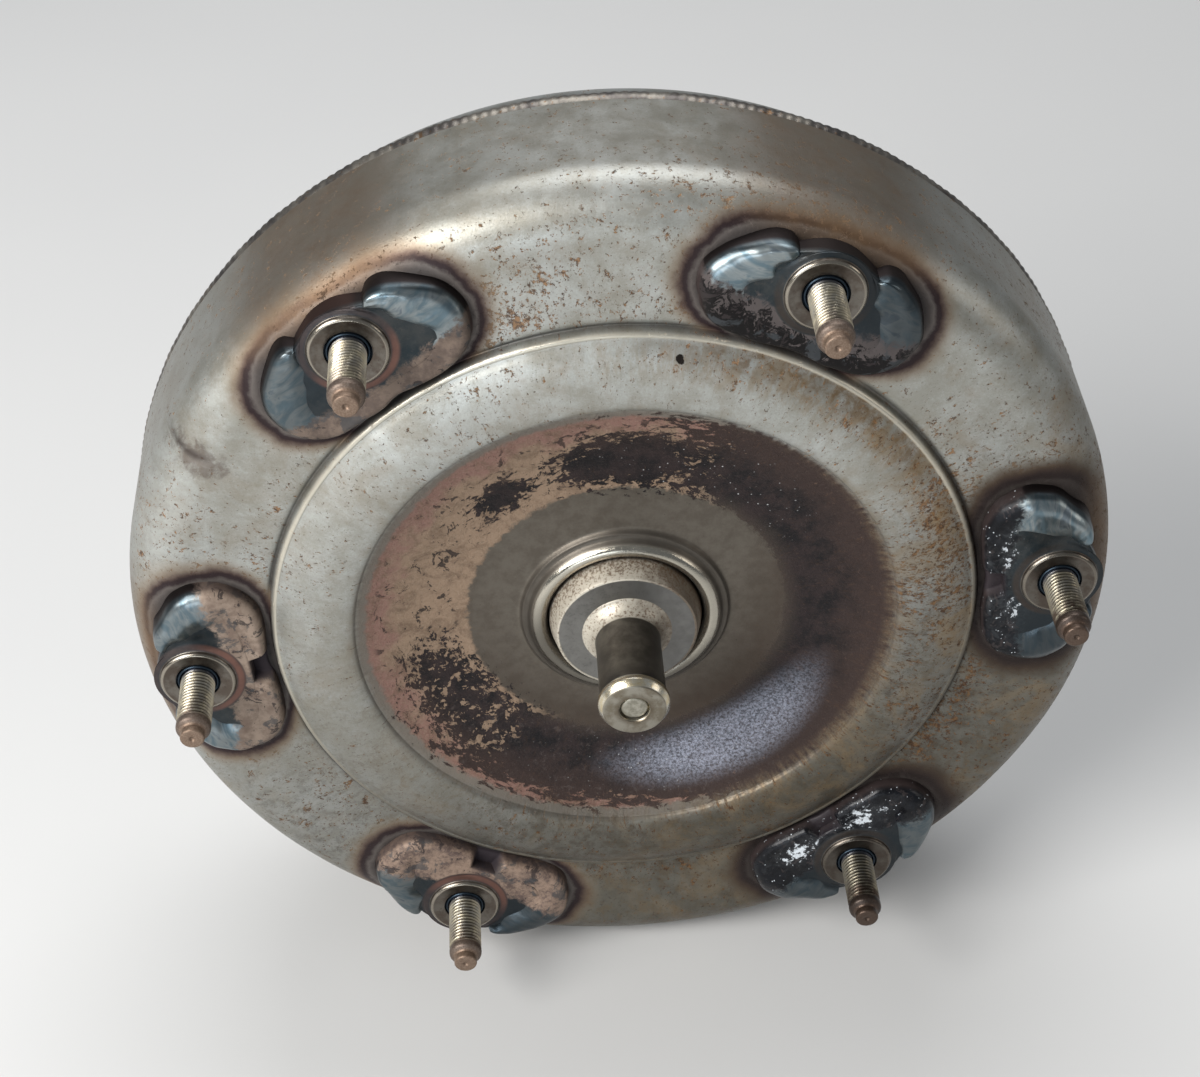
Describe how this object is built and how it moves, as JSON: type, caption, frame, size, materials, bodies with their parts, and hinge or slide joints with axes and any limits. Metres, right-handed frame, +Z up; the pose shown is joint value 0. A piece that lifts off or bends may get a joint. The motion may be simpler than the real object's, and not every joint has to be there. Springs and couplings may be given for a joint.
{
  "type": "torque converter",
  "caption": "Welded automatic-transmission torque converter with studded front cover, pilot, impeller, turbine, stator on a one-way clutch and a lock-up piston with spring damper.",
  "frame": {"origin": "where the rotation axis crosses the plane of the six stud faces", "axes": "+Y along the rotation axis towards the transmission, -Y towards the engine, +Z up, +X to the right seen from the engine"},
  "size_m": [0.2866, 0.1541, 0.2866],
  "materials": {
    "bare_steel": "pressed steel, satin, lightly rusted",
    "weld_steel": "weld bead with a dark glossy oxide",
    "block_steel": "dark oiled steel with a machined face",
    "stud_steel": "threaded steel with a yellowish oil film",
    "pilot_steel": "turned steel, speckled",
    "machined_steel": "ground steel",
    "pressed_steel": "pressed steel, oiled",
    "spring_steel": "spring wire",
    "cast_aluminium": "die-cast",
    "friction_paper": "paper-based friction lining",
    "seal_rubber": "moulded seal ring"
  },
  "bodies": {
    "housing": {"front_cover": "bare_steel", "pilot_boss": "pilot_steel", "pilot_plug": "machined_steel", "stud_block_1": "block_steel", "stud_block_2": "block_steel", "stud_block_3": "block_steel", "stud_block_4": "block_steel", "stud_block_5": "block_steel", "stud_block_6": "block_steel", "block_weld_1": "weld_steel", "block_weld_2": "weld_steel", "block_weld_3": "weld_steel", "block_weld_4": "weld_steel", "block_weld_5": "weld_steel", "block_weld_6": "weld_steel", "stud_1": "stud_steel", "stud_2": "stud_steel", "stud_3": "stud_steel", "stud_4": "stud_steel", "stud_5": "stud_steel", "stud_6": "stud_steel", "impeller_shell": "bare_steel", "impeller_blades": "pressed_steel", "impeller_hub": "machined_steel", "seam_weld": "weld_steel", "balance_weight_1": "pressed_steel", "balance_weight_2": "pressed_steel", "thrust_bearing_cover": "machined_steel", "thrust_bearing_impeller": "machined_steel"},
    "turbine": {"turbine_shell": "pressed_steel", "turbine_blades": "pressed_steel", "turbine_hub": "machined_steel", "driven_plate": "pressed_steel", "piston_seal_ring": "seal_rubber", "thrust_bearing_turbine": "machined_steel"},
    "damper": {"spring_retainer": "pressed_steel", "damper_spring_1": "spring_steel", "damper_spring_2": "spring_steel", "damper_spring_3": "spring_steel", "damper_spring_4": "spring_steel", "damper_spring_5": "spring_steel", "damper_spring_6": "spring_steel"},
    "piston": {"lockup_piston": "pressed_steel", "friction_lining": "friction_paper"},
    "inner_race": {"one_way_inner_race": "machined_steel"},
    "stator": {"stator_wheel": "cast_aluminium", "one_way_outer_race": "machined_steel", "clutch_side_plate_front": "pressed_steel", "clutch_side_plate_rear": "pressed_steel", "one_way_roller_1": "machined_steel", "one_way_roller_2": "machined_steel", "one_way_roller_3": "machined_steel", "one_way_roller_4": "machined_steel", "one_way_roller_5": "machined_steel", "one_way_roller_6": "machined_steel", "one_way_roller_7": "machined_steel", "one_way_roller_8": "machined_steel"}
  },
  "joints": [
    {"name": "turbine_spin", "type": "hinge", "parent": "housing", "child": "turbine", "pos_m": [0, 0.045, 0], "axis": [0, 1, 0], "continuous": true},
    {"name": "damper_twist", "type": "hinge", "parent": "turbine", "child": "damper", "pos_m": [0, 0.0249, 0], "axis": [0, 1, 0], "range_deg": [-12, 12], "stiffness_Nm_per_rad": 400, "deforming": ["damper_spring_1", "damper_spring_2", "damper_spring_3", "damper_spring_4", "damper_spring_5", "damper_spring_6"]},
    {"name": "lockup_slide", "type": "slide", "parent": "damper", "child": "piston", "axis": [0, -1, 0], "range_m": [0, 0.0007]},
    {"name": "inner_race_spin", "type": "hinge", "parent": "housing", "child": "inner_race", "pos_m": [0, 0.06, 0], "axis": [0, 1, 0], "continuous": true},
    {"name": "stator_spin", "type": "hinge", "parent": "inner_race", "child": "stator", "pos_m": [0, 0.06, 0], "axis": [0, 1, 0], "continuous": true}
  ]
}
